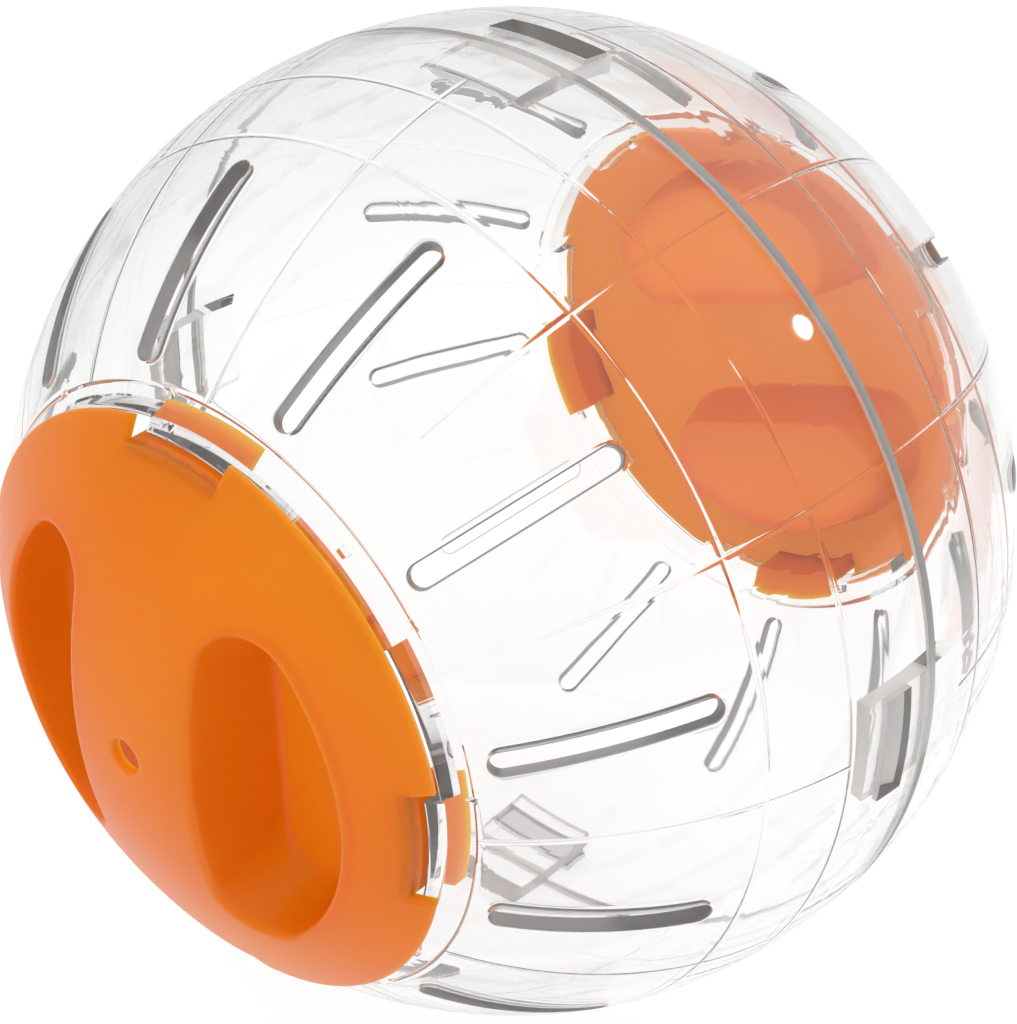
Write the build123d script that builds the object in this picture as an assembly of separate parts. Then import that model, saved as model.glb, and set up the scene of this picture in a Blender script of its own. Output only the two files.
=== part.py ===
from build123d import *
import math
import os

# Driving dimensions, in millimetres and degrees.
# Angles called "from the pole" are measured at the ball's centre, from the lid's axis.
ball_radius = 60.0
wall = 1.8
seam_gap = 0.1
seam_chamfer = 0.5

# Round doorway at the pole of each half, with a thicker collar around it
door_radius = 33.2
collar_wall = 2.6
collar_width = 4.8
door_edge_round = 0.4

# Air slots, evenly spaced around each half
slot_count = 12
slot_width = 2.6
slot_margin = 2.4
slot_end_angle = 63.6

# Low grip ribs inside: meridians between the slots, and rings below them
meridian_count = 12
rib_width = 0.8
rib_height = 0.25
ring_height = 0.18
ring_angles = (68.0, 78.6)
rib_seam_margin = 0.4
rib_sink_angle = 0.8

# Snap clips across the seam: two tongues and two windows on each half
tongue_angles = (0, 180)
window_angles = (90, 270)
clip_width_angle = 12.6
clip_thickness = 1.7
clip_reach = 9.0
clip_root = 7.0
clip_clearance = 0.15
hook_height = 1.3
hook_start = 4.0
hook_length = 3.2
window_clearance = 0.3

# Lid: a domed skin over the doorway
lid_skin = 1.1
lid_overlap = 2.15
lid_clearance = 0.3
lid_edge_round = 0.5
axle_hole_radius = 2.0

# Finger pockets each side of the lid's grip bar
bar_half_width_top = 9.2
bar_half_width_floor = 9.7
pocket_depth = 13.4
pocket_margin = 8.9
pocket_draft = 13.3
pocket_corner = 5.5
corner_room = 0.76
pocket_edge_round = 0.7
pocket_floor_round = 1.2

# Bayonet: lugs on the lid, entry notches and stops on the collar
lug_count = 4
lug_width_angle = 24.0
lug_thickness = 1.3
lug_riser = 1.5
lug_overlap = 0.8
riser_clearance = 0.5
notch_clearance = 0.6
notch_width_angle = 28.5
notch_angle = 23.5
lock_travel = 45.0
stop_width_angle = 1.8
stop_gap_angle = 0.6
front_lid_turn = 0.0

# Sizes that follow from the ones above
inner_radius = ball_radius - wall
collar_radius = ball_radius - collar_wall
rib_radius = inner_radius - rib_height
ring_radius = inner_radius - ring_height
lid_inner_radius = ball_radius + lid_clearance
lid_outer_radius = lid_inner_radius + lid_skin
skin_middle_radius = (lid_inner_radius + lid_outer_radius) / 2
door_angle = math.degrees(math.asin(door_radius / ball_radius))
collar_end_angle = door_angle + math.degrees(collar_width / ball_radius)
slot_start_angle = collar_end_angle + math.degrees(slot_margin / ball_radius)
lid_edge_angle = math.degrees(math.asin((door_radius + lid_overlap) / lid_outer_radius))
pocket_floor = lid_outer_radius - pocket_depth
pocket_floor_reach = door_radius - pocket_margin
corner_limit = (pocket_floor_reach - bar_half_width_floor) / 2 * corner_room
corner_radius = min(pocket_corner, corner_limit)
lug_top_radius = collar_radius - lid_clearance
lug_bottom_radius = lug_top_radius - lug_thickness
lug_reach = door_radius + lug_overlap
riser_outer = door_radius - riser_clearance
riser_inner = riser_outer - lug_riser
notch_reach = lug_reach + notch_clearance
clip_outer_radius = inner_radius - clip_clearance
clip_inner_radius = clip_outer_radius - clip_thickness
locked_turn = notch_angle - lock_travel
rear_lid_turn = locked_turn
stop_angle = locked_turn - lug_width_angle / 2 - stop_gap_angle - stop_width_angle / 2
fuse_depth = wall / 4
plain_angle = 360 / slot_count / 4
far_out = ball_radius * 2
hair = 0.01


def angle_at_reach(radius, reach):
    """Angle from the pole at which a sphere is this far from the pole axis."""
    return math.degrees(math.asin(reach / radius))


def angle_at_height(radius, height):
    """Angle from the pole at which a sphere is this high above the seam plane."""
    return math.degrees(math.acos(height / radius))


def polar(radius, angle):
    """Point in the XZ plane, at an angle from the pole."""
    return (radius * math.sin(math.radians(angle)), 0, radius * math.cos(math.radians(angle)))


def arc(radius, start, end):
    """Arc about the ball's centre, between two angles from the pole."""
    return ThreePointArc(polar(radius, start), polar(radius, (start + end) / 2), polar(radius, end))


def closed_face(*edges):
    """Face inside the arcs given, in order, with straight lines between their ends."""
    loop = []
    for edge, following in zip(edges, edges[1:] + edges[:1]):
        loop.append(edge)
        if (edge @ 1 - following @ 0).length > hair:
            loop.append(Line(edge @ 1, following @ 0))
    return make_face(loop)


def sector(face, width_angle, angle):
    """Face in the XZ plane turned about the pole axis, over a width centred on an angle."""
    return Rot(0, 0, angle - width_angle / 2) * revolve(face, Axis.Z, width_angle)


def meridian_band(width, inner, outer, start, end):
    """Strip of constant width along a meridian, between two radii."""
    section = Plane.YZ * Pos(0, (inner + outer) / 2) * Rectangle(width, outer - inner)
    return revolve(Rot(0, start, 0) * section, Axis.Y, end - start)


def ribbed_line(start, end):
    """Inside line of the wall from the seam up to the collar, stepped in at each ring rib."""
    half_angle = math.degrees(rib_width / 2 / inner_radius)
    line = []
    for ring in sorted(ring_angles, reverse=True):
        line.append(arc(inner_radius, start, ring + half_angle))
        line.append(arc(ring_radius, ring + half_angle, ring - half_angle))
        start = ring - half_angle
    line.append(arc(inner_radius, start, end))
    return line


def shell_wall():
    """Half ball with its doorway, collar and ring ribs."""
    seam_height = seam_gap / 2
    outer = arc(ball_radius, angle_at_reach(ball_radius, door_radius), angle_at_height(ball_radius, seam_height))
    inner = ribbed_line(angle_at_height(inner_radius, seam_height), collar_end_angle)
    collar = arc(collar_radius, collar_end_angle, angle_at_reach(collar_radius, door_radius))
    section = closed_face(outer, *inner, collar)
    door_corners = section.vertices().filter_by(lambda corner: abs(corner.X - door_radius) < hair)
    section = fillet(door_corners, door_edge_round)
    seam_corner = section.vertices().sort_by(Axis.X)[-1]
    section = chamfer(seam_corner, seam_chamfer)
    return Rot(0, 0, plain_angle) * revolve(section, Axis.Z)


def slot_cutter():
    """Air slot with round ends, on the meridian at angle zero."""
    end_angle = math.degrees(slot_width / 2 / ball_radius)
    first = slot_start_angle + end_angle
    last = slot_end_angle - end_angle
    low = collar_radius
    high = ball_radius + wall
    strip = meridian_band(slot_width, low, high, first, last)
    end = Pos(0, 0, (low + high) / 2) * Cylinder(slot_width / 2, high - low)
    return strip + Rot(0, first, 0) * end + Rot(0, last, 0) * end


def meridian_ribs():
    """Ribs that stand in from the wall, from the collar to the seam."""
    root_radius = inner_radius + fuse_depth
    ribs = []
    for index in range(meridian_count):
        angle = index * 360 / meridian_count
        end = ring_angles[-1] if angle in window_angles else angle_at_height(inner_radius, rib_seam_margin)
        band = meridian_band(rib_width, rib_radius, root_radius, collar_end_angle - rib_sink_angle, end)
        ribs.append(Rot(0, 0, angle) * band)
    return ribs


def clip_tongue():
    """Snap tongue at angle zero: its root on this half's wall, its hook past the seam."""
    root_radius = inner_radius + fuse_depth
    root_angle = angle_at_height(inner_radius, clip_root)
    tip_angle = angle_at_height(inner_radius, -clip_reach)
    seam_side = angle_at_height(inner_radius, seam_gap)
    root_taper = math.degrees(clip_thickness / inner_radius)
    root_outer = arc(root_radius, root_angle, seam_side)
    blade_outer = arc(clip_outer_radius, seam_side, tip_angle)
    blade_inner = arc(clip_inner_radius, tip_angle, root_angle + root_taper)
    blade = closed_face(root_outer, blade_outer, blade_inner)
    catch = angle_at_height(clip_outer_radius, -hook_start)
    hook_end = angle_at_height(clip_outer_radius, -hook_start - hook_length)
    hook_line = arc(clip_outer_radius - fuse_depth, hook_end, catch)
    peak = polar(clip_outer_radius + hook_height, catch)
    hook = make_face([hook_line, Line(hook_line @ 1, peak), Line(peak, hook_line @ 0)])
    return sector(blade + hook, clip_width_angle, 0)


def clip_window():
    """Opening at angle zero in which the other half's hook sits."""
    clear_angle = math.degrees(window_clearance / inner_radius)
    height = hook_length + 2 * window_clearance
    depth = 4 * wall
    middle = Pos(inner_radius, 0, hook_start + hook_length / 2)
    opening = middle * Rot(90, 0, 0) * Rectangle(depth, height)
    return sector(opening, clip_width_angle + 2 * clear_angle, 0)


def entry_notch():
    """Gap in the collar at angle zero that lets a lug in."""
    inner = door_radius - wall
    cut = Pos((inner + notch_reach) / 2, 0, 0) * Rot(90, 0, 0) * Rectangle(notch_reach - inner, far_out)
    return sector(cut, notch_width_angle, 0) & Pos(0, 0, far_out / 2) * Box(far_out, far_out, far_out)


def lock_stop():
    """Small rib under the collar at angle zero that ends the lid's turn."""
    inner_reach = door_radius + door_edge_round
    outer_reach = lug_reach
    root_radius = collar_radius + fuse_depth
    low = arc(lug_bottom_radius, angle_at_reach(lug_bottom_radius, inner_reach),
              angle_at_reach(lug_bottom_radius, outer_reach))
    high = arc(root_radius, angle_at_reach(root_radius, outer_reach), angle_at_reach(root_radius, inner_reach))
    return sector(closed_face(low, high), stop_width_angle, 0)


def half_shell():
    """One clear half of the ball, with its pole on +Z and its seam at Z = 0."""
    half = shell_wall()
    half += meridian_ribs()
    half += [Rot(0, 0, angle) * clip_tongue() for angle in tongue_angles]
    half += [Rot(0, 0, stop_angle + index * 360 / lug_count) * lock_stop() for index in range(lug_count)]
    slot_step = 360 / slot_count
    half -= [Rot(0, 0, (index + 0.5) * slot_step) * slot_cutter() for index in range(slot_count)]
    half -= [Rot(0, 0, angle) * clip_window() for angle in window_angles]
    half -= [Rot(0, 0, notch_angle + index * 360 / lug_count) * entry_notch() for index in range(lug_count)]
    return half


def pocket_section(height, flat, reach, corner):
    """D-shaped outline beside the bar: a flat, and an arc about the pole axis."""
    half_length = math.sqrt(reach ** 2 - flat ** 2)
    start = (-half_length, flat)
    end = (half_length, flat)
    outline = make_face([Line(start, end), ThreePointArc(end, (0, reach), start)])
    return Pos(0, 0, height) * fillet(outline.vertices(), corner)


def pocket_form(grow):
    """Finger pocket on the +Y side of the bar, grown outwards by a wall."""
    floor = pocket_floor - grow
    top = lid_outer_radius + lid_skin
    rise = top - pocket_floor
    top_reach = pocket_floor_reach + rise * math.tan(math.radians(pocket_draft))
    low = pocket_section(floor, bar_half_width_floor - grow, pocket_floor_reach + grow, corner_radius + grow)
    high = pocket_section(top, bar_half_width_top - grow, top_reach + grow, corner_radius + grow)
    return loft([low, high], ruled=True)


def pocket_mouths(body):
    """Edges where the pockets break through the outside of the skin."""
    def on_outside(edge):
        return all(abs((edge @ place).length - lid_outer_radius) < hair for place in (0, 0.5, 1))
    return body.edges().filter_by(on_outside).filter_by(GeomType.CIRCLE, reverse=True)


def pocket_floors(body):
    """Edges around the floors of the pockets."""
    floors = body.faces().filter_by(GeomType.PLANE)
    return floors.filter_by(lambda face: abs(face.center().Z - pocket_floor) < hair).edges()


def lug():
    """Bayonet lug at angle zero: a riser down from the skin and a plate under the collar."""
    plate_top = arc(lug_top_radius, angle_at_reach(lug_top_radius, riser_outer),
                    angle_at_reach(lug_top_radius, lug_reach))
    plate_bottom = arc(lug_bottom_radius, angle_at_reach(lug_bottom_radius, lug_reach),
                       angle_at_reach(lug_bottom_radius, riser_inner))
    riser_top = arc(skin_middle_radius, angle_at_reach(skin_middle_radius, riser_inner),
                    angle_at_reach(skin_middle_radius, riser_outer))
    return sector(closed_face(plate_top, plate_bottom, riser_top), lug_width_angle, 0)


def lug_window():
    """Gap in the skin's edge above a lug, at angle zero."""
    outer = lid_outer_radius
    middle = (riser_outer + outer) / 2
    cut = Pos(middle, 0, 0) * Rot(90, 0, 0) * Rectangle(outer - riser_outer, far_out)
    above = Pos(0, 0, far_out / 2) * Box(far_out, far_out, far_out)
    return (sector(cut, lug_width_angle, 0) & above) - Sphere(lid_inner_radius - lid_clearance)


def lid():
    """Orange lid with its pole on +Z, its grip bar along X and a lug at angle zero."""
    outer = arc(lid_outer_radius, 0, lid_edge_angle)
    inner = arc(lid_inner_radius, lid_edge_angle, 0)
    section = closed_face(outer, inner)
    section = fillet(section.vertices().sort_by(Axis.X)[-1], lid_edge_round)
    skin = revolve(section, Axis.Z)
    room = Sphere(skin_middle_radius)
    both_sides = (0, 180)
    body = skin
    body += [Rot(0, 0, angle) * (pocket_form(lid_skin) & room) for angle in both_sides]
    body -= [Rot(0, 0, angle) * pocket_form(0) for angle in both_sides]
    body = fillet(pocket_mouths(body), pocket_edge_round)
    body = fillet(pocket_floors(body), pocket_floor_round)
    body -= Pos(0, 0, lid_outer_radius) * Cylinder(axle_hole_radius, far_out / 4)
    lug_angles = [index * 360 / lug_count for index in range(lug_count)]
    body -= [Rot(0, 0, angle) * lug_window() for angle in lug_angles]
    body += [Rot(0, 0, angle) * lug() for angle in lug_angles]
    return body


def on_front(piece):
    """Pole to -Y, angle zero to +Z and a quarter turn to -X."""
    return Plane(origin=(0, 0, 0), x_dir=(0, 0, 1), z_dir=(0, -1, 0)) * piece


def on_rear(piece):
    """Front position turned half round about the axis midway between +Z and -X."""
    return Plane(origin=(0, 0, 0), x_dir=(-1, 0, 0), z_dir=(0, 1, 0)) * piece


def main():
    shell = half_shell()
    cover = lid()
    pieces = {
        "front_shell": on_front(shell),
        "rear_shell": on_rear(shell),
        "front_lid": on_front(Rot(0, 0, front_lid_turn) * cover),
        "rear_lid": on_rear(Rot(0, 0, rear_lid_turn) * cover),
    }
    os.makedirs("parts", exist_ok=True)
    for name, piece in pieces.items():
        export_step(piece, f"parts/{name}.step")
        print(name, "solids", len(piece.solids()), "volume", round(piece.volume), "faces", len(piece.faces()))


main()
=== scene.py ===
import math

import bpy
import numpy as np
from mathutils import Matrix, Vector


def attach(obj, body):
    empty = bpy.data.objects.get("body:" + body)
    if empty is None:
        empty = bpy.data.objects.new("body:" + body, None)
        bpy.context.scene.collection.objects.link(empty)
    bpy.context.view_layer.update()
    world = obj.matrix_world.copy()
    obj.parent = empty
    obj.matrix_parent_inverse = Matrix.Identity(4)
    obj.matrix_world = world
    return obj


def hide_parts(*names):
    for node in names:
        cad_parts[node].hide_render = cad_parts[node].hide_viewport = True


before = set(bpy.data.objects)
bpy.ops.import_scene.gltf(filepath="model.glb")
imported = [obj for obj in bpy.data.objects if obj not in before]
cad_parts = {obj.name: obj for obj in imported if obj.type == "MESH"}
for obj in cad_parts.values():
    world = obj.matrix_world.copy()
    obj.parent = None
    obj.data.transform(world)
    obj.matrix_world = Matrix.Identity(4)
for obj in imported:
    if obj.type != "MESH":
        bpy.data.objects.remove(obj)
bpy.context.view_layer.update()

mm = 0.001
weldStep = 1e-5  # mm, points closer than this become one
weldShift = 0.37  # of a step, so that round numbers don't lie between two steps
sharpAngle = 38.0  # degrees, edges above it stay sharp
tiny = 1e-12  # keeps a face without area from dividing by 0
print("frame loaded:", sorted(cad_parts))


# Points at a radius, an angle from the pole and an angle round it, by their sines and cosines
def onSphere(radius, theta, phi):
    lean, swing = np.radians(theta), np.radians(phi)
    across = radius * np.sin(lean)
    parts = np.broadcast_arrays(across * np.cos(swing), across * np.sin(swing), radius * np.cos(lean))
    return np.stack(parts, -1)


# Each vector divided by its length
def unit(vectors):
    return vectors / np.linalg.norm(vectors, axis=-1, keepdims=True)


# Angle from the pole and angle round it, in degrees, of directions with a length of 1
def poleAngles(direction):
    theta = np.degrees(np.arccos(np.clip(direction[..., 2], -1, 1)))
    return theta, np.degrees(np.arctan2(direction[..., 1], direction[..., 0])) % 360


# Vertex numbers of the quads of a grid, with its last column joined to the first if closed
def gridQuads(rows, cols, closed=False):
    start = np.arange(rows - 1)[:, None] * cols
    here = np.arange(cols if closed else cols - 1)[None, :]
    after = (here + 1) % cols
    corners = [start + here, start + after, start + cols + after, start + cols + here]
    return np.stack(corners, -1).reshape(-1, 4)


# Points turned about the pole axis
def turned(points, angle):
    cosine, sine = math.cos(math.radians(angle)), math.sin(math.radians(angle))
    spin = np.array([[cosine, -sine, 0], [sine, cosine, 0], [0, 0, 1]])
    return points @ spin.T


# Several patches, each an outer grid, an inner grid and whether they close, as one sheet
def stacked(patches):
    outer, inner, quads, count = [], [], [], 0
    for outside, inside, closed in patches:
        rows, cols = outside.shape[:2]
        outer.append(outside.reshape(-1, 3))
        inner.append(inside.reshape(-1, 3))
        quads.append(gridQuads(rows, cols, closed) + count)
        count += rows * cols
    return np.vstack(outer), np.vstack(inner), np.vstack(quads)


# Solid between two matching surfaces: both sheets, and a wall along every open edge
def thickSheet(outer, inner, quads):
    key = np.round(np.hstack([outer, inner]) / weldStep + weldShift).astype(np.int64)
    _, first, back = np.unique(key, axis=0, return_index=True, return_inverse=True)
    outer, inner, quads = outer[first], inner[first], back.reshape(-1)[quads]
    same = quads == np.roll(quads, -1, axis=1)
    whole = quads[~same.any(1)]
    pinched = quads[same.sum(1) == 1]  # two corners met, so three are left
    at = np.argmax(pinched == np.roll(pinched, -1, axis=1), axis=1)
    keep = (at[:, None] + np.array([1, 2, 3])[None, :]) % 4
    threes = np.take_along_axis(pinched, keep, axis=1)
    sides = [np.stack([face, np.roll(face, -1, axis=1)], -1).reshape(-1, 2) for face in (whole, threes)]
    edges = np.vstack(sides)
    number = len(outer)
    forward = edges[:, 0] * number + edges[:, 1]
    backward = edges[:, 1] * number + edges[:, 0]
    rim = edges[~np.isin(forward, backward)]
    walls = np.stack([rim[:, 0], rim[:, 0] + number, rim[:, 1] + number, rim[:, 1]], -1)
    faces = np.vstack([whole, whole[:, ::-1] + number, walls]).tolist()
    faces += np.vstack([threes, threes[:, ::-1] + number]).tolist()
    return np.vstack([outer, inner]), faces


# Solids, each a pair of points and faces, as one
def joined(solids):
    points, faces, count = [], [], 0
    for solidPoints, solidFaces in solids:
        points.append(solidPoints)
        faces += [[corner + count for corner in face] for face in solidFaces]
        count += len(solidPoints)
    return np.vstack(points), faces


# Local pole +Z to the front pole -Y, as the front half and lid stand
def onFront(points):
    return np.stack([-points[:, 1], -points[:, 2], points[:, 0]], -1)


# Local pole +Z to the rear pole +Y
def onRear(points):
    return np.stack([-points[:, 0], points[:, 2], points[:, 1]], -1)


# The rear lid is turned further than the front one
def onRearTurned(points):
    return onRear(turned(points, lid["rearTurn"]))


# Mesh object in metres, smooth across gentle edges. finish gives each face's material number
def addPiece(name, solid, place, body, materials, node=None, finish=None):
    points, faces = solid
    mesh = bpy.data.meshes.new(name)
    mesh.from_pydata((place(points) * mm).tolist(), [], faces)
    mesh.shade_smooth()
    mesh.set_sharp_from_angle(angle=math.radians(sharpAngle))
    for material in materials:
        mesh.materials.append(material)
    if finish is not None:
        mesh.polygons.foreach_set("material_index", finish)
    mesh.validate()
    piece = bpy.data.objects.new(name, mesh)
    bpy.context.scene.collection.objects.link(piece)
    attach(piece, body)
    if node:
        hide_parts(node)
    print("piece", name, len(points), "points", len(faces), "faces")
    return piece


# One clear half: sizes in mm, angles in degrees from the pole or round it. ribColumns, ribNear and ribFar are
# shares of half a rib's width, and fieldRows and collarRows are shares of the way outwards
half = {"radius": 60.0, "wall": 1.8, "seamGap": 0.1, "seamChamfer": 0.5, "seamShares": (1.0, 0.5, 0.0),
        "doorReach": 33.2, "collarWall": 2.6, "collarEnd": 38.18, "collarSlope": 0.3, "rimRound": 0.4,
        "notchReach": 34.6, "notchAngle": 23.5, "notchWidth": 28.5, "notches": 4, "notchFlank": 2.6,
        "slots": 12, "slotWidth": 2.6, "slotStart": 40.47, "slotEnd": 63.6, "slotRound": 0.3,
        "ribWidth": 0.5, "ribHeight": 0.05, "ringHeight": 0.045, "rings": (68.0, 78.6), "ribSeamGap": 0.4,
        "ribNear": 0.1, "ribFar": 1.6, "ribColumns": (1.9, 1.5, 1.15, 0.8, 0.45, 0.1),
        "windows": (90.0, 270.0), "windowTop": 82.7, "windowBottom": 86.4, "windowHalf": 6.6,
        "bandTop": 39.3, "bandBottom": 66.4, "hair": 0.03,
        "sidePoints": 26, "plainColumns": 11, "roundSteps": 4,
        "fieldRows": (0.03, 0.08, 0.16, 0.27, 0.4, 0.55, 0.7, 0.85, 1.0),
        "collarRows": (0.06, 0.12, 0.129, 0.2, 0.238, 0.247, 0.36, 0.5, 0.62, 0.7, 0.74, 0.78, 0.85, 0.93,
                       1.0),
        "lowerRows": (70.5, 72.4, 74.3, 76.2, 80.6, 83.1, 83.5, 84.0, 84.4, 84.8, 85.6, 87.4, 88.5)}

# Snap tongue across the seam: heights in mm above the seam, sideShares of its half width
clip = {"angles": (0.0, 180.0), "halfWidth": 6.3, "outer": 58.05, "thick": 1.7, "rootHeight": 7.0,
        "tipHeight": -9.0, "rootGap": 0.005, "hookHeight": 1.3, "hookStart": -4.0, "hookEnd": -7.2,
        "hookShape": (0, 0, 0, 1.0, 0.5, 0, 0, 0), "sideShares": (0.4, 0.7), "columns": 13}

# Stops under the collar that end a lid's turn: the angle is the first one's, straight is in half widths
stop = {"angle": 55.0, "halfWidth": 0.9, "inner": 55.8, "reachStart": 33.6, "reachEnd": 34.0, "straight": 2}


# Quarter circle: distance in from the edge and depth below the face, from the wall to the face
def quarterRound(radius):
    angle = np.linspace(0, math.pi / 2, half["roundSteps"])
    return radius * (1 - np.cos(angle)), radius * (1 - np.sin(angle))


# Smooth step down from 1 to 0 between two distances: 1 less three squares plus two cubes of the share
def fallOff(distance, near, far):
    share = np.clip((distance - near) / (far - near), 0, 1)
    return 1 - share * share * (3 - 2 * share)


# Angle from the nearest of several marks that stand evenly round the pole
def fromNearest(phi, mark, count):
    turn = 360 / count
    return np.abs((phi - mark + turn / 2) % turn - turn / 2)


# Height of a rib across its width, 1 on its ridge
def ribShape(distance):
    middle = half["ribWidth"] / 2
    return fallOff(np.abs(distance), middle * half["ribNear"], middle * half["ribFar"])


# Distances from a rib's ridge at which its columns lie
def acrossRib():
    side = half["ribWidth"] / 2 * np.array(half["ribColumns"])
    return np.concatenate([-side, [0.0], side[::-1]])


# The same columns as angles round the pole, for each angle from the pole
def ribSwing(theta):
    around = half["radius"] * np.sin(np.radians(theta))
    return np.degrees(np.arcsin(acrossRib() / around[..., None]))


# Inner radius: the wall, stepped in at collar, stops and tongue roots, less the low ribs along meridians
# and rings
def innerRadius(direction):
    theta, phi = poleAngles(direction)
    base = half["radius"] - half["wall"]
    step = 360 / half["slots"]
    index = np.round(phi / step)
    across = base * np.sin(np.radians(theta)) * np.sin(np.radians(phi - index * step))
    toSeam = np.radians(90 - theta) * base
    rise = half["ribHeight"] * ribShape(across)
    rise = rise * (1 - fallOff(toSeam, half["ribSeamGap"], 2 * half["ribSeamGap"]))
    atWindow = np.isin(index * step % 360, half["windows"])
    rise = np.where(atWindow & (theta > half["rings"][1]), 0, rise)
    for ring in half["rings"]:
        rise = np.maximum(rise, half["ringHeight"] * ribShape(np.radians(theta - ring) * base))
    collar = half["radius"] - half["collarWall"]
    under = fallOff(theta, half["collarEnd"], half["collarEnd"] + half["collarSlope"])
    inner = np.minimum(base - rise, base + (collar - base) * under)
    reach = collar * np.sin(np.radians(theta))
    inStop = fromNearest(phi, stop["angle"], half["notches"]) < stop["halfWidth"] + half["hair"] / 2
    inStop &= (reach > stop["reachStart"]) & (reach < stop["reachEnd"])
    inner = np.where(inStop, stop["inner"], inner)
    height = base * np.cos(np.radians(theta))
    slope = np.clip((clip["rootHeight"] - height) / clip["thick"], 0, 1)
    root = base + (clip["outer"] - clip["thick"] - base) * slope
    beside = fromNearest(phi, clip["angles"][0], len(clip["angles"]))
    return np.where(beside < clip["halfWidth"] + half["hair"] / 2, np.minimum(inner, root), inner)


# Angles from a rib to the next, for each angle from the pole, closer at the edges of tongue, window and stop
def columnAngles(theta):
    step = 360 / half["slots"]
    edge = ribSwing(np.asarray(theta, float))[..., -1:]
    side, window, hair = clip["halfWidth"], half["windowHalf"], half["hair"]
    near = np.concatenate([np.array(clip["sideShares"]) * side, [side, side + hair]])
    block = stop["angle"] % step + np.array([-1, 1]) * stop["halfWidth"]
    plain = np.linspace(window, step - window, half["plainColumns"])
    inside = np.sort(np.concatenate([near, plain, step - near, block, block + np.array([-hair, hair])]))
    inside = np.broadcast_to(inside, edge.shape[:-1] + inside.shape)
    return np.concatenate([edge, inside, step - edge], -1)


# Stadium round the slot at a distance from its edge, on the unit ball: top end, right, bottom end, left
def slotLoop(distance, ends, sides):
    radius = (half["slotWidth"] / 2 + distance) / half["radius"]
    endRadius = half["slotWidth"] / 2 / half["radius"]
    top = math.radians(half["slotStart"]) + endRadius
    bottom = math.radians(half["slotEnd"]) - endRadius
    angle = np.linspace(-math.pi / 2, math.pi / 2, ends + 1)
    run = np.linspace(top, bottom, sides + 1)
    right = np.full(sides - 1, radius)
    swing = np.concatenate([radius * np.sin(angle), right, radius * np.sin(angle)[::-1], -right])
    endRise = radius * np.cos(angle)
    lean = np.concatenate([top - endRise, run[1:-1], bottom + endRise[::-1], run[-2:0:-1]])
    return np.stack([np.cos(swing) * np.sin(lean), np.sin(swing), np.cos(swing) * np.cos(lean)], -1)


# Edge of the slot's field on the unit ball, point for point with slotLoop
def fieldLoop(sides):
    rows = np.linspace(half["bandTop"], half["bandBottom"], sides + 1)
    cols = columnAngles(rows) - 180 / half["slots"]
    count = cols.shape[1]
    theta = np.concatenate([np.full(count, rows[0]), rows[1:-1], np.full(count, rows[-1]), rows[-2:0:-1]])
    phi = np.concatenate([cols[0], cols[1:-1, -1], cols[-1][::-1], cols[-2:0:-1, 0]])
    return onSphere(1.0, theta, phi)


# Field round one slot: quarter round at its edge, then rings that grow into the field's edge
def slotField(sides):
    ends = columnAngles([half["bandTop"]]).shape[1] - 1
    offsets, drops = quarterRound(half["slotRound"])
    near = np.stack([slotLoop(distance, ends, sides) for distance in offsets])
    grow = np.array(half["fieldRows"])[:, None, None]
    rings = unit(near[-1] * (1 - grow) + fieldLoop(sides) * grow)
    direction = np.concatenate([near, rings])
    drop = np.concatenate([drops, np.zeros(len(grow))])[:, None]
    return direction, np.broadcast_to(drop, direction.shape[:2])


# Angles from the pole below the slots, closer at the rings, the windows and the seam
def lowerRows():
    perMm = math.degrees(1 / half["radius"])
    rings = [ring + acrossRib() * perMm for ring in half["rings"]]
    plain = [half["bandBottom"], half["windowTop"], half["windowBottom"], *half["lowerRows"]]
    seam = 90 - math.degrees(half["seamGap"] / 2 / half["radius"])
    chamfer = seam - half["seamChamfer"] * perMm * np.array(half["seamShares"])
    return np.unique(np.concatenate([plain, *rings, chamfer]))


# Rim of the doorway: angle and reach at each column, stepped out at the notches, straight at the stops
def rimLine(phi):
    quarter = 360 / half["notches"]
    knotAngle, knotReach, knotPhi = [], [], []
    for index in range(-1, half["notches"] + 1):
        middle = half["notchAngle"] + index * quarter
        for side in (-1, 1):
            edge = middle + side * half["notchWidth"] / 2
            door = (edge + side * half["notchFlank"], half["doorReach"])
            notch = (edge, half["notchReach"])
            for place, reach in (door, notch) if side < 0 else (notch, door):
                turns = math.floor(place / 360) * 360
                column = np.searchsorted(phi, place - turns) - (side < 0)  # the next one away from the notch
                knotPhi.append(phi[column] + turns)
                knotAngle.append(edge)
                knotReach.append(reach)
        for side in (-1, 1):
            place = stop["angle"] + index * quarter + side * stop["straight"] * stop["halfWidth"]
            knotPhi.append(place)
            knotAngle.append(place)
            knotReach.append(half["doorReach"])
    return np.interp(phi, knotPhi, knotAngle), np.interp(phi, knotPhi, knotReach)


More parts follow.
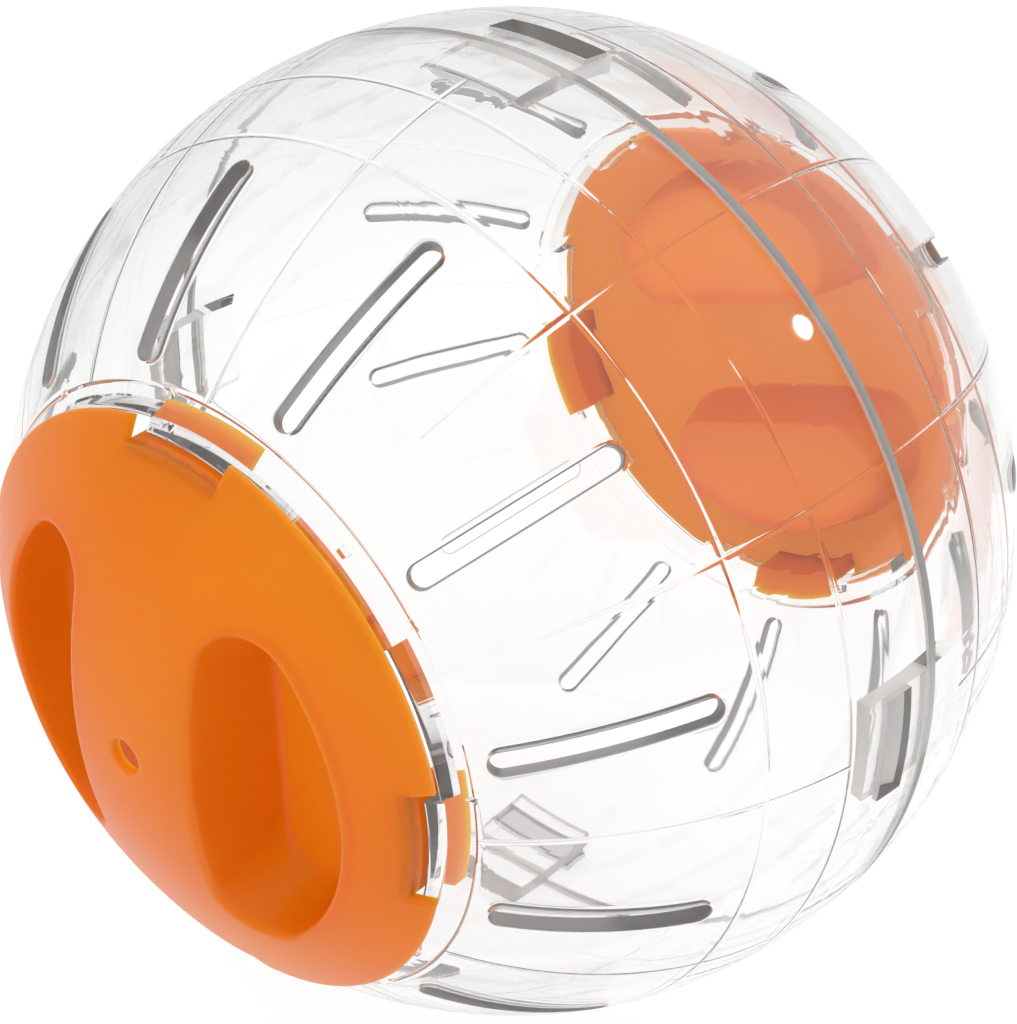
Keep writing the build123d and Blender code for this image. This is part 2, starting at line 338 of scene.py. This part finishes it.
# Collar, from the doorway's notched rim to the slots' fields: each row is a share of the way between them
def collarPatch():
    radius, bandTop = half["radius"], half["bandTop"]
    step = 360 / half["slots"]
    around = np.concatenate([ribSwing(np.array(bandTop))[:-1], columnAngles([bandTop])[0, :-1]])
    phi = np.sort((around[None, :] + (np.arange(half["slots"]) * step)[:, None]).reshape(-1) % 360)
    rimPhi, rimReach = rimLine(phi)
    offsets, drops = quarterRound(half["rimRound"])
    rimOuter = np.degrees(np.arcsin(rimReach / radius))
    rimInner = np.degrees(np.arcsin(rimReach / (radius - half["collarWall"])))
    share = np.array(half["collarRows"])[:, None]
    start = rimOuter[None, :] + np.degrees(offsets / radius)[:, None]
    thetaOuter = np.concatenate([start, start[-1] + (bandTop - start[-1]) * share])
    early = np.linspace(0, share[0, 0], len(offsets) + 1)[:-1]
    lag = np.concatenate([early, share[:, 0]])[:, None]
    thetaInner = rimInner + (bandTop - rimInner) * lag
    phiRows = rimPhi + (phi - rimPhi) * lag
    drop = np.concatenate([drops, np.zeros(len(share))])[:, None]
    inward = onSphere(1.0, thetaInner, phiRows)
    return onSphere(radius - drop, thetaOuter, phiRows), inward * innerRadius(inward)[..., None], True


# Clear half: slot fields, the wall below them, the ribs' strips and the collar, with the windows left out
def halfShell():
    radius, sides = half["radius"], half["sidePoints"]
    step = 360 / half["slots"]
    field, fieldDrop = slotField(sides)
    field, fieldDrop = field[::-1], fieldDrop[::-1]
    lower = lowerRows()
    bandRows = np.linspace(half["bandTop"], half["bandBottom"], sides + 1)
    ribRows = np.unique(np.concatenate([bandRows, lower]))
    chamferStart = lower[-1] - math.degrees(half["seamChamfer"] / radius)

    # wall between rows and columns of angles, bevelled at the seam
    def wallPatch(theta, phi):
        direction = onSphere(1.0, theta[:, None], phi)
        drop = np.radians(np.maximum(theta - chamferStart, 0)) * radius
        outside = direction * (radius - drop)[:, None, None]
        return outside, direction * innerRadius(direction)[..., None], False

    patches = []
    for index in range(half["slots"]):
        direction = turned(field, (index + 0.5) * step)
        inward = innerRadius(direction) + np.minimum(fieldDrop, half["slotRound"])
        patches.append((direction * (radius - fieldDrop)[..., None], direction * inward[..., None], True))
        patches.append(wallPatch(lower, columnAngles(lower) + index * step))
        patches.append(wallPatch(ribRows, ribSwing(ribRows) + index * step))
    patches.append(collarPatch())
    outer, inner, quads = stacked(patches)
    corners = outer[quads]
    middle = corners.mean(1)
    normal = np.cross(corners[:, 2] - corners[:, 0], corners[:, 3] - corners[:, 1])
    backwards = (normal * middle).sum(1) < 0
    quads[backwards] = quads[backwards][:, ::-1]
    theta, phi = poleAngles(unit(middle))
    gap = np.zeros(len(quads), bool)
    for angle in half["windows"]:
        beside = np.abs(phi - angle) < half["windowHalf"]
        gap |= beside & (theta > half["windowTop"]) & (theta < half["windowBottom"])
    shell = thickSheet(outer, inner, quads[~gap])
    return joined([shell, *[tongue(angle) for angle in clip["angles"]]])


# Snap tongue past the seam: outer and inner lines from the seam to its tip, carried across its width
def tongue(angle):
    start = half["seamGap"] / 2 - clip["rootGap"]
    catch, end, tip = clip["hookStart"], clip["hookEnd"], clip["tipHeight"]
    heights = [start, catch / 2, catch, catch - half["hair"], (catch + end) / 2, end, (end + tip) / 2, tip]
    outer = clip["outer"] + np.array(clip["hookShape"]) * clip["hookHeight"]
    under = np.full(len(heights), clip["outer"] - clip["thick"])
    theta = np.degrees(np.arccos(np.array(heights) / (half["radius"] - half["wall"])))
    phi = np.linspace(clip["halfWidth"], -clip["halfWidth"], clip["columns"]) + angle
    outside = onSphere(outer[:, None], theta[:, None], phi)
    inside = onSphere(under[:, None], theta[:, None], phi)
    return thickSheet(*stacked([(outside, inside, False)]))


# Face finishes of a clear half: 0 polished, 1 at the edges of slots and windows, frosted and grey as painted
# shade, 2 along the seam and hooks
def edgeFinish(solid):
    points, faces = solid
    size = np.array([len(face) for face in faces])
    first = np.concatenate([[0], np.cumsum(size)[:-1]])
    middle = np.add.reduceat(points[np.concatenate(faces)], first) / size[:, None]
    corner = np.stack([points[[face[n] for face in faces]] for n in range(3)])
    normal = unit(np.cross(corner[1] - corner[0], corner[2] - corner[0]) + tiny)
    steep = np.abs((normal * unit(middle)).sum(-1)) < edgeLook["steep"]
    theta, phi = poleAngles(unit(middle))
    margin = edgeLook["margin"]
    cut = (theta > half["slotStart"] - margin) & (theta < half["slotEnd"] + margin)
    cut &= np.abs(phi % (360 / half["slots"]) - 180 / half["slots"]) < edgeLook["slotReach"]
    inRow = (theta > half["windowTop"] - margin) & (theta < half["windowBottom"] + margin)
    for angle in half["windows"]:
        cut |= inRow & (np.abs(phi - angle) < half["windowHalf"] + margin)
    parting = theta > 90 - edgeLook["seamReach"]
    return np.where(steep & cut, 1, np.where(steep & parting, 2, 0)).astype(np.int32)


# Orange lid: sizes in mm, angles in degrees. runs gives the columns between the rim's corners, and arcShares
# how far along the pocket's arc each of arcColumns lies, so that no column crosses another beside a window
lid = {"outer": 61.4, "skin": 1.1, "edgeReach": 35.35, "edgeRound": 0.5, "hole": 2.0, "rearTurn": -21.5,
       "flatTop": 9.2, "flatFloor": 9.7, "floor": 48.0, "floorReach": 24.3, "draft": 13.3, "corner": 5.5,
       "mouthRound": 0.8, "floorRound": 1.3, "underRound": 0.5, "windowReach": 32.7, "windowHalf": 12.0,
       "arcColumns": (0, 25, 28, 40, 43, 69), "arcShares": (0, 0.310, 0.344, 0.656, 0.690, 1),
       "runs": (6, 3, 36, 3, 12, 3, 36, 3, 6), "cornerColumns": 20, "lineColumns": 21, "holeColumns": 17,
       "rimRows": 5, "domeRows": 15, "roundRows": 7, "wallRows": 8, "floorShares": (0.8, 0.6, 0.4, 0.2, 0.0),
       "underStart": 0.06, "mouthGuess": 10.0, "mouthTries": 30}

# Bayonet lugs under the lid: sizes in mm, half width in degrees, sink is how far a riser goes into the skin
lug = {"count": 4, "halfWidth": 12.0, "top": 57.1, "bottom": 55.8, "reach": 34.0, "riserOuter": 32.7,
       "riserInner": 31.2, "sink": 0.4, "columns": 17, "plateRows": 4}


# D outline beside the bar: right corner, arc about the axis, left corner, flat. grown moves it outwards
def pocketLine(height, grown, corners, arcs, flats):
    rise = height - lid["floor"]
    full = lid["outer"] + lid["skin"] - lid["floor"]
    flat = lid["flatFloor"] + (lid["flatTop"] - lid["flatFloor"]) * rise / full - grown
    reach = lid["floorReach"] + rise * math.tan(math.radians(lid["draft"])) + grown
    corner = lid["corner"] + grown
    centre = np.sqrt((reach - corner) ** 2 - (flat + corner) ** 2)
    lean = np.arctan2(flat + corner, centre)
    part = np.repeat([0, 1, 2, 3], [corners, arcs, corners, flats])
    share = np.concatenate([np.arange(count) / count for count in (corners, arcs, corners, flats)])
    share[part == 1] = np.interp(np.arange(arcs), lid["arcColumns"], lid["arcShares"])
    right = -math.pi / 2 + (lean + math.pi / 2) * share
    left = math.pi - lean + (lean + math.pi / 2) * share
    along = lean + (math.pi - 2 * lean) * share
    which = [part == 0, part == 1, part == 2]
    middle = flat + corner
    xParts = [centre + corner * np.cos(right), reach * np.cos(along), -centre + corner * np.cos(left)]
    yParts = [middle + corner * np.sin(right), reach * np.sin(along), middle + corner * np.sin(left)]
    x = np.select(which, xParts, -centre + 2 * centre * share)
    y = np.select(which, yParts, flat)
    return np.stack(np.broadcast_arrays(x, y), -1)


# The same outline with its height as the third coordinate
def pocketRow(height, grown, counts):
    return np.concatenate([pocketLine(height, grown, *counts), height[:, None]], -1)


# Height at which the pocket's outline meets a dome, found by repeated substitution
def mouthHeight(radius, grown, counts):
    height = np.full(sum(counts) + counts[0], lid["floor"] + lid["mouthGuess"])
    for _ in range(lid["mouthTries"]):
        line = pocketLine(height, grown, *counts)
        height = np.sqrt(radius ** 2 - (line ** 2).sum(-1))
    return height


# Outline of half the lid: the rim with its windows, the middle line round the hole, and the way in from both
def lidEdge(out):
    low, wide, inset = lid["windowReach"], lid["windowHalf"], lid["edgeRound"]
    knotAngle = [0, wide, wide, 90 - wide, 90 - wide, 90 + wide, 90 + wide, 180 - wide, 180 - wide, 180]
    knotReach = [low, low, out, out, low, low, out, out, low, low]
    knotColumn = np.concatenate([[0], np.cumsum(lid["runs"])])
    column = np.arange(knotColumn[-1] + 1)
    angle = np.radians(np.interp(column, knotColumn, knotAngle))
    length = np.interp(column, knotColumn, knotReach)
    towardPole = np.ones(len(column))
    aside = np.zeros(len(column))
    for start, way in ((1, 1), (3, -1), (5, 1), (7, -1)):  # the windows' sides are rounded along the rim
        first, last = knotColumn[start], knotColumn[start + 1]
        towardPole[first + 1:last] = 0
        aside[first:last + 1] = way
    radial = np.stack([np.cos(angle), np.sin(angle)], -1)
    tangent = np.stack([-np.sin(angle), np.cos(angle)], -1)
    inward = (tangent * aside[:, None] - radial * towardPole[:, None]) * inset
    toHole = low - lid["hole"]
    run = np.linspace(2 * inset, toHole - 2 * inset, lid["lineColumns"])
    run = np.concatenate([[inset], run, [toHole - inset]])
    line = np.stack([-low + run, np.zeros(len(run))], -1)
    turn = np.linspace(math.pi, 0, lid["holeColumns"])
    ring = np.stack([np.cos(turn), np.sin(turn)], -1)
    outward = ring * inset
    for ends in (inward, outward):
        ends[0] += (0, inset)
        ends[-1] += (0, inset)
    sideways = np.zeros_like(line) + (0, inset)
    edge = np.concatenate([radial * length[:, None], line, ring * lid["hole"], -line[::-1]])
    return edge, np.concatenate([inward, sideways, outward, sideways])


# Plan points raised onto a dome: the height is the root of radius squared less reach squared
def lift(plan, radius):
    return np.concatenate([plan, np.sqrt(radius ** 2 - (plan ** 2).sum(-1))[..., None]], -1)


# Rows along a curve from start to end that is pulled towards the sharp corner between them
def bend(start, corner, end, steps):
    share = np.linspace(0, 1, steps)[:, None, None]
    return (1 - share) ** 2 * start + 2 * share * (1 - share) * corner + share ** 2 * end


# Rows along straight lines, without their ends
def between(start, end, steps):
    share = np.linspace(0, 1, steps)[1:-1, None, None]
    return start * (1 - share) + end * share


# Domed skin with pockets: rows from the rim to the middle of a pocket's floor, for half the lid and turned
def lidDome():
    outer, skin = lid["outer"], lid["skin"]
    inner = outer - skin
    edge, way = lidEdge(lid["edgeReach"])
    underEdge, _ = lidEdge(lid["edgeReach"] * inner / outer)
    rimCount = sum(lid["runs"]) + 1
    counts = (lid["cornerColumns"], rimCount - 2 * lid["cornerColumns"], len(edge) - rimCount)
    rounded = lid["roundRows"]
    grow = np.linspace(0, 1, lid["domeRows"])[1:-1, None, None]
    shrink = np.array(lid["floorShares"])[:, None, None]

    # outside: rim round, dome, pocket mouth, wall, floor round, floor
    sharpRim = lift(edge, outer)
    underRim = lift(underEdge, inner)
    onLine = np.abs(edge[:, 1]) < weldStep
    onLine &= np.abs(edge[:, 0]) > lid["hole"] + weldStep
    onLine[:rimCount] = False
    down = (underRim - sharpRim) * (lid["edgeRound"] / skin)
    down[onLine] = 0  # both halves meet there
    rimRows = bend(sharpRim + down, sharpRim, lift(edge + way, outer), lid["rimRows"])
    mouthRound, floorRound = lid["mouthRound"], lid["floorRound"]
    height = mouthHeight(outer, 0.0, counts)
    mouthOut = lift(pocketLine(height, mouthRound, *counts), outer)
    mouthIn = pocketRow(height - mouthRound, 0.0, counts)
    domeRows = lift(rimRows[-1][:, :2] * (1 - grow) + mouthOut[:, :2] * grow, outer)
    level = np.full(len(edge), lid["floor"])
    wallEnd = pocketRow(level + floorRound, 0.0, counts)
    floorIn = pocketRow(level, -floorRound, counts)
    centre = np.array([0.0, (lid["flatFloor"] + lid["floorReach"]) / 2, lid["floor"]])
    outside = np.concatenate([rimRows, domeRows,
                              bend(mouthOut, pocketRow(height, 0.0, counts), mouthIn, rounded),
                              between(mouthIn, wallEnd, lid["wallRows"]),
                              bend(wallEnd, pocketRow(level, 0.0, counts), floorIn, rounded),
                              centre + (floorIn - centre) * shrink])

    # underside, row for row
    underRound = lid["underRound"]
    height = mouthHeight(inner, skin, counts)
    joinOut = lift(pocketLine(height, skin + underRound, *counts), inner)
    joinIn = pocketRow(height - underRound, skin, counts)
    level = level - skin
    footUp = pocketRow(level + underRound, skin, counts)
    footIn = pocketRow(level, skin - underRound, counts)
    start = np.linspace(0, lid["underStart"], lid["rimRows"])[:, None, None]
    share = np.concatenate([start, lid["underStart"] + (1 - lid["underStart"]) * grow])
    underRows = lift(underRim[:, :2] * (1 - share) + joinOut[:, :2] * share, inner)
    centre = centre - (0, 0, skin)
    inside = np.concatenate([underRows, bend(joinOut, pocketRow(height, skin, counts), joinIn, rounded),
                             between(joinIn, footUp, lid["wallRows"]),
                             bend(footUp, pocketRow(level, skin, counts), footIn, rounded),
                             centre + (footIn - centre) * shrink])
    rows, cols = outside.shape[:2]
    quads = gridQuads(rows, cols, True)
    sheets = [sheet.reshape(-1, 3) for sheet in (outside, inside)]
    sheets = [np.vstack([sheet, turned(sheet, 180)]) for sheet in sheets]
    return thickSheet(*sheets, np.vstack([quads, quads + rows * cols]))


# Reach and height of points along a sphere
def alongSphere(radius, reach):
    return np.stack([reach, np.sqrt(radius ** 2 - reach ** 2)], -1)


# Lugs: a riser from the skin and a plate under the collar, as an outer and an inner line carried along an arc
def lidLugs():
    skin = lid["outer"] - lid["skin"] + lug["sink"]
    lines = []
    for radius, riser in ((lug["top"], lug["riserOuter"]), (lug["bottom"], lug["riserInner"])):
        plate = alongSphere(radius, np.linspace(riser, lug["reach"], lug["plateRows"]))
        lines.append(np.concatenate([alongSphere(skin, np.array([riser])), plate]))
    solids = []
    for index in range(lug["count"]):
        phi = np.linspace(lug["halfWidth"], -lug["halfWidth"], lug["columns"]) + index * 360 / lug["count"]
        swing = np.radians(phi)
        faces = []
        for line in lines:
            height = np.broadcast_to(line[:, 1:], (len(line), len(swing)))
            faces.append(np.stack([line[:, :1] * np.cos(swing), line[:, :1] * np.sin(swing), height], -1))
        solids.append(thickSheet(*stacked([(*faces, False)])))
    return joined(solids)


# New material with its node tree and its shader
def newMaterial(name):
    material = bpy.data.materials.new(name)
    material.use_nodes = True
    tree = material.node_tree
    return material, tree, tree.nodes["Principled BSDF"]


# Wire from one socket to another
def link(tree, start, end):
    tree.links.new(start, end)


# Same value in all three colours
def grey(value):
    return (value, value, value, 1)


# Noise on the piece's own coordinates, in features to the metre
def noise(tree, scale, detail=2.0):
    place = tree.nodes.new("ShaderNodeTexCoord")
    texture = tree.nodes.new("ShaderNodeTexNoise")
    texture.inputs["Scale"].default_value = scale
    texture.inputs["Detail"].default_value = detail
    link(tree, place.outputs["Object"], texture.inputs["Vector"])
    return texture.outputs["Fac"]


# Value carried from one range to another, by default from the middle of a noise's
def spread(tree, value, low, high, start=0.3, end=0.7):
    node = tree.nodes.new("ShaderNodeMapRange")
    for name, number in (("From Min", start), ("From Max", end), ("To Min", low), ("To Max", high)):
        node.inputs[name].default_value = number
    link(tree, value, node.inputs["Value"])
    return node.outputs["Result"]


# Small relief from a height
def bump(tree, shader, height, strength, distance):
    node = tree.nodes.new("ShaderNodeBump")
    node.inputs["Strength"].default_value = strength
    node.inputs["Distance"].default_value = distance
    link(tree, height, node.inputs["Height"])
    link(tree, node.outputs[0], shader.inputs["Normal"])


# Colour between two, from pairs of place and colour
def ramp(tree, value, stops):
    node = tree.nodes.new("ShaderNodeValToRGB")
    for mark, (place, colour) in zip(node.color_ramp.elements, stops):
        mark.position = place
        mark.color = (*colour, 1)
    link(tree, value, node.inputs["Fac"])
    return node.outputs["Color"]


# Shader between two others, by a share
def mixed(tree, share, one, other):
    node = tree.nodes.new("ShaderNodeMixShader")
    for socket, source in zip(node.inputs, (share, one.outputs[0], other.outputs[0])):
        link(tree, source, socket)
    return node.outputs[0]


# Result of an operation on two values, each a number or a socket
def mathNode(tree, operation, one, other):
    node = tree.nodes.new("ShaderNodeMath")
    node.operation = operation
    for value, socket in zip((one, other), node.inputs):
        if isinstance(value, float):
            socket.default_value = value
        else:
            link(tree, value, socket)
    return node.outputs[0]


# Clear moulded wall: absorption greys it where it is seen edge-on
clearLook = {"ior": 1.5, "smooth": 0.004, "dull": 0.03, "absorb": (0.70, 0.715, 0.70, 1), "density": 26.0,
             "waves": 55.0, "wavePush": 0.05, "waveDepth": 1.0 * mm}

# Cut and parting edges, less polished than the wall; the slots' grey is painted shade, standing in for the
# dark
# lines that refraction draws along them: a face is one where its cosine to the radius is below steep, and the
# reaches and the margin are in degrees
edgeLook = {"steep": 0.93, "slotReach": 4.0, "seamReach": 0.8, "margin": 0.5, "slot": (0.50, 0.49, 0.48, 1),
            "seam": (0.85, 0.85, 0.83, 1), "slotClear": 0.72, "seamClear": 0.6, "rough": 0.3, "rougher": 0.4,
            "grain": 250.0}


# See-through plastic whose roughness follows a noise
def seeThrough(name, colour, clearness, scale, smooth, dull):
    material, tree, shader = newMaterial(name)
    shader.inputs["Base Color"].default_value = colour
    shader.inputs["IOR"].default_value = clearLook["ior"]
    shader.inputs["Transmission Weight"].default_value = clearness
    pattern = noise(tree, scale)
    link(tree, spread(tree, pattern, smooth, dull), shader.inputs["Roughness"])
    volume = tree.nodes.new("ShaderNodeVolumeAbsorption")
    volume.inputs["Color"].default_value = clearLook["absorb"]
    volume.inputs["Density"].default_value = clearLook["density"]
    link(tree, volume.outputs[0], tree.nodes["Material Output"].inputs["Volume"])
    return material, tree, shader, pattern


# Polished wall with slow waves in its surface
def clearPlastic():
    look = clearLook
    made = seeThrough("clearPolystyrene", grey(1), 1.0, look["waves"], look["smooth"], look["dull"])
    material, tree, shader, waves = made
    bump(tree, shader, waves, look["wavePush"], look["waveDepth"])
    return material


# Frosted edge, without waves, in the colour given, which for the slots is painted shade
def edgePlastic(name, colour, clearness):
    return seeThrough(name, colour, clearness, edgeLook["grain"], edgeLook["rough"], edgeLook["rougher"])[0]


# Orange moulded lid: slightly translucent, with faint flow marks and a fine grain
orangeLook = {"deep": (0.76, 0.138, 0.002), "light": (0.81, 0.170, 0.004), "deepAt": 0.3, "lightAt": 0.7,
              "flow": 28.0, "flowDetail": 4.0, "grain": 1600.0, "gloss": 0.30, "dull": 0.40, "push": 0.05,
              "grainDepth": 0.05 * mm, "shine": 0.25, "glow": 0.6, "glowReach": (1.0, 1.0, 0.08),
              "glowDepth": 0.007}


# Colour and roughness follow the flow marks, and the relief follows the grain
def orangePlastic():
    look = orangeLook
    material, tree, shader = newMaterial("orangePolypropylene")
    flow = noise(tree, look["flow"], look["flowDetail"])
    stops = [(look["deepAt"], look["deep"]), (look["lightAt"], look["light"])]
    link(tree, ramp(tree, flow, stops), shader.inputs["Base Color"])
    link(tree, spread(tree, flow, look["gloss"], look["dull"]), shader.inputs["Roughness"])
    bump(tree, shader, noise(tree, look["grain"]), look["push"], look["grainDepth"])
    shader.inputs["Specular IOR Level"].default_value = look["shine"]
    shader.inputs["Subsurface Weight"].default_value = look["glow"]
    shader.inputs["Subsurface Radius"].default_value = look["glowReach"]
    shader.inputs["Subsurface Scale"].default_value = look["glowDepth"]
    return material


# Studio: a white surround, dimmer on the camera's side and at the horizon, and a white floor with a painted
# pool of light under the object, seen in gloss and glass
studio = {"ambient": 0.78, "dim": 0.4, "dimStart": 0.0, "dimFull": -0.55, "horizon": 0.74, "skyTop": 0.5,
          "floorGlow": 0.76, "floorColour": 0.28, "floorBounce": 0.85, "floorSize": 3.0, "beyondPoolGlow": 0.74,
          "lightPoolStart": 0.17, "lightPoolEnd": 0.30, "bounces": 24}

# Disc lamps that face the object: place and size in metres, power in watts
lamps = {"keyLamp": {"place": (-0.55, -0.75, 1.0), "size": 1.2, "power": 3.0},
         "fillLamp": {"place": (0.95, -1.0, 0.3), "size": 1.2, "power": 2.6},
         "backLamp": {"place": (0.25, 1.1, 0.75), "size": 1.0, "power": 7.0}}


# 1 for rays from the camera, off gloss or through glass, which see the white background,
# and 0 after any dull surface
def seenDirectly(tree):
    path = tree.nodes.new("ShaderNodeLightPath")
    seen = mathNode(tree, "MAXIMUM", path.outputs["Is Camera Ray"], path.outputs["Is Glossy Ray"])
    seen = mathNode(tree, "MAXIMUM", seen, path.outputs["Is Transmission Ray"])
    direct = mathNode(tree, "LESS_THAN", path.outputs["Diffuse Depth"], 0.5)  # no dull bounce yet
    return mathNode(tree, "MULTIPLY", seen, direct)


# White above, greyer at the horizon, dimmer to gloss in front of the object, and always white to the camera
def surroundStrength(tree):
    place = tree.nodes.new("ShaderNodeTexCoord")
    parts = tree.nodes.new("ShaderNodeSeparateXYZ")
    link(tree, place.outputs["Generated"], parts.inputs[0])
    fade = spread(tree, parts.outputs["Y"], studio["dim"], 1.0, studio["dimFull"], studio["dimStart"])
    rise = spread(tree, parts.outputs["Z"], studio["horizon"], 1.0, 0.0, studio["skyTop"])
    path = tree.nodes.new("ShaderNodeLightPath")
    fade = mathNode(tree, "MAXIMUM", fade, path.outputs["Is Transmission Ray"])
    return mathNode(tree, "MAXIMUM", mathNode(tree, "MULTIPLY", fade, rise), path.outputs["Is Camera Ray"])


# Even white to the camera, and to gloss and glass a painted pool of light that fades outwards from under the
# object
def floorGlow(tree):
    place = tree.nodes.new("ShaderNodeTexCoord")
    length = tree.nodes.new("ShaderNodeVectorMath")
    length.operation = "LENGTH"
    link(tree, place.outputs["Object"], length.inputs[0])
    start, end = studio["lightPoolStart"], studio["lightPoolEnd"]
    fade = spread(tree, length.outputs["Value"], 1.0, studio["beyondPoolGlow"], start, end)
    path = tree.nodes.new("ShaderNodeLightPath")
    shown = mathNode(tree, "MAXIMUM", fade, path.outputs["Is Camera Ray"])
    return mathNode(tree, "MULTIPLY", shown, studio["floorGlow"])


# Plain light for what is dull, and the white surround for what is seen
def buildSurround():
    world = bpy.data.worlds.new("softSky")
    bpy.context.scene.world = world
    world.use_nodes = True
    world.cycles.sampling_method = "NONE"
    tree = world.node_tree
    light = tree.nodes["Background"]
    light.inputs["Color"].default_value = grey(1)
    light.inputs["Strength"].default_value = studio["ambient"]
    white = tree.nodes.new("ShaderNodeBackground")
    white.inputs["Color"].default_value = grey(1)
    link(tree, surroundStrength(tree), white.inputs["Strength"])
    link(tree, mixed(tree, seenDirectly(tree), light, white), tree.nodes["World Output"].inputs[0])


# Square under the ball, pale where it lights the object, and glowing white where it is seen
def buildFloor():
    material, tree, shader = newMaterial("whiteFloor")
    tree.nodes.remove(shader)
    bounce = tree.nodes.new("ShaderNodeBsdfDiffuse")
    bounce.inputs["Color"].default_value = grey(studio["floorBounce"])
    shown = tree.nodes.new("ShaderNodeBsdfDiffuse")
    shown.inputs["Color"].default_value = grey(studio["floorColour"])
    glow = tree.nodes.new("ShaderNodeEmission")
    link(tree, floorGlow(tree), glow.inputs["Strength"])
    both = tree.nodes.new("ShaderNodeAddShader")
    link(tree, shown.outputs[0], both.inputs[0])
    link(tree, glow.outputs[0], both.inputs[1])
    surface = tree.nodes["Material Output"].inputs["Surface"]
    link(tree, mixed(tree, seenDirectly(tree), bounce, both), surface)
    side = studio["floorSize"] / 2
    level = -half["radius"] * mm
    corners = [(-side, -side, level), (side, -side, level), (side, side, level), (-side, side, level)]
    mesh = bpy.data.meshes.new("floor")
    mesh.from_pydata(corners, [], [(0, 1, 2, 3)])
    mesh.materials.append(material)
    floor = bpy.data.objects.new("floor", mesh)
    bpy.context.scene.collection.objects.link(floor)


# Lamps light the object without showing in gloss or glass
def buildLamps():
    for name, lamp in lamps.items():
        data = bpy.data.lights.new(name, "AREA")
        data.shape = "DISK"
        data.size = lamp["size"]
        data.energy = lamp["power"]
        light = bpy.data.objects.new(name, data)
        light.location = lamp["place"]
        light.rotation_mode = "QUATERNION"
        light.rotation_quaternion = (-Vector(lamp["place"])).to_track_quat("-Z", "Y")
        light.visible_transmission = False
        light.visible_glossy = False
        bpy.context.scene.collection.objects.link(light)


# Surround, floor and lamps, with enough bounces for light to pass both clear walls
def buildStudio():
    buildSurround()
    buildFloor()
    buildLamps()
    scene = bpy.context.scene
    scene.cycles.max_bounces = studio["bounces"]
    scene.cycles.transmission_bounces = studio["bounces"]
    scene.cycles.glossy_bounces = studio["bounces"]
    scene.cycles.blur_glossy = 0.0  # light reaches the inside through the clear wall
    scene.view_settings.view_transform = "Standard"


# Camera, fitted to the photograph: angles in degrees, distance in ball radii, near and far in metres
view = {"azimuth": 41.8, "elevation": 34.5, "distance": 4.7, "ballPixels": 505.0, "longSide": 1024.0,
        "sensor": 36.0, "shiftX": -0.004, "shiftY": -0.001, "near": 0.01, "far": 50.0}


# The lens makes the ball's outline as wide as in the photograph, from its distance
def buildCamera():
    data = bpy.data.cameras.new("photoCamera")
    camera = bpy.data.objects.new("photoCamera", data)
    bpy.context.scene.collection.objects.link(camera)
    around, up = math.radians(view["azimuth"]), math.radians(view["elevation"])
    back = Vector((math.sin(around) * math.cos(up), -math.cos(around) * math.cos(up), math.sin(up)))
    camera.location = back * view["distance"] * half["radius"] * mm
    camera.rotation_mode = "QUATERNION"
    camera.rotation_quaternion = (-back).to_track_quat("-Z", "Y")
    focal = view["ballPixels"] * math.sqrt(view["distance"] ** 2 - 1)
    data.sensor_width = view["sensor"]
    data.lens = focal * view["sensor"] / view["longSide"]
    data.shift_x, data.shift_y = view["shiftX"], view["shiftY"]
    data.clip_start, data.clip_end = view["near"], view["far"]
    bpy.context.scene.camera = camera


buildCamera()
buildStudio()
print("camera and studio ready")
orange = [orangePlastic()]
# slot edges: frosted, with a grey that is painted shade for the dark lines refraction draws there
clear = [clearPlastic(), edgePlastic("slotEdgePaintedShade", edgeLook["slot"], edgeLook["slotClear"]),
         edgePlastic("seamEdge", edgeLook["seam"], edgeLook["seamClear"])]
shellSolid = halfShell()
shellFinish = edgeFinish(shellSolid)
front = addPiece("frontShell", shellSolid, onFront, "ball", clear, "front_shell", shellFinish)
rear = addPiece("rearShell", shellSolid, onRear, "ball", clear, "rear_shell", shellFinish)
for piece in (front, rear):
    piece.visible_shadow = False  # lamps reach what is inside
domeSolid, lugSolid = lidDome(), lidLugs()
addPiece("frontLid", domeSolid, onFront, "front_lid", orange, "front_lid")
addPiece("frontLidLugs", lugSolid, onFront, "front_lid", orange)
addPiece("rearLid", domeSolid, onRearTurned, "rear_lid", orange, "rear_lid")
addPiece("rearLidLugs", lugSolid, onRearTurned, "rear_lid", orange)
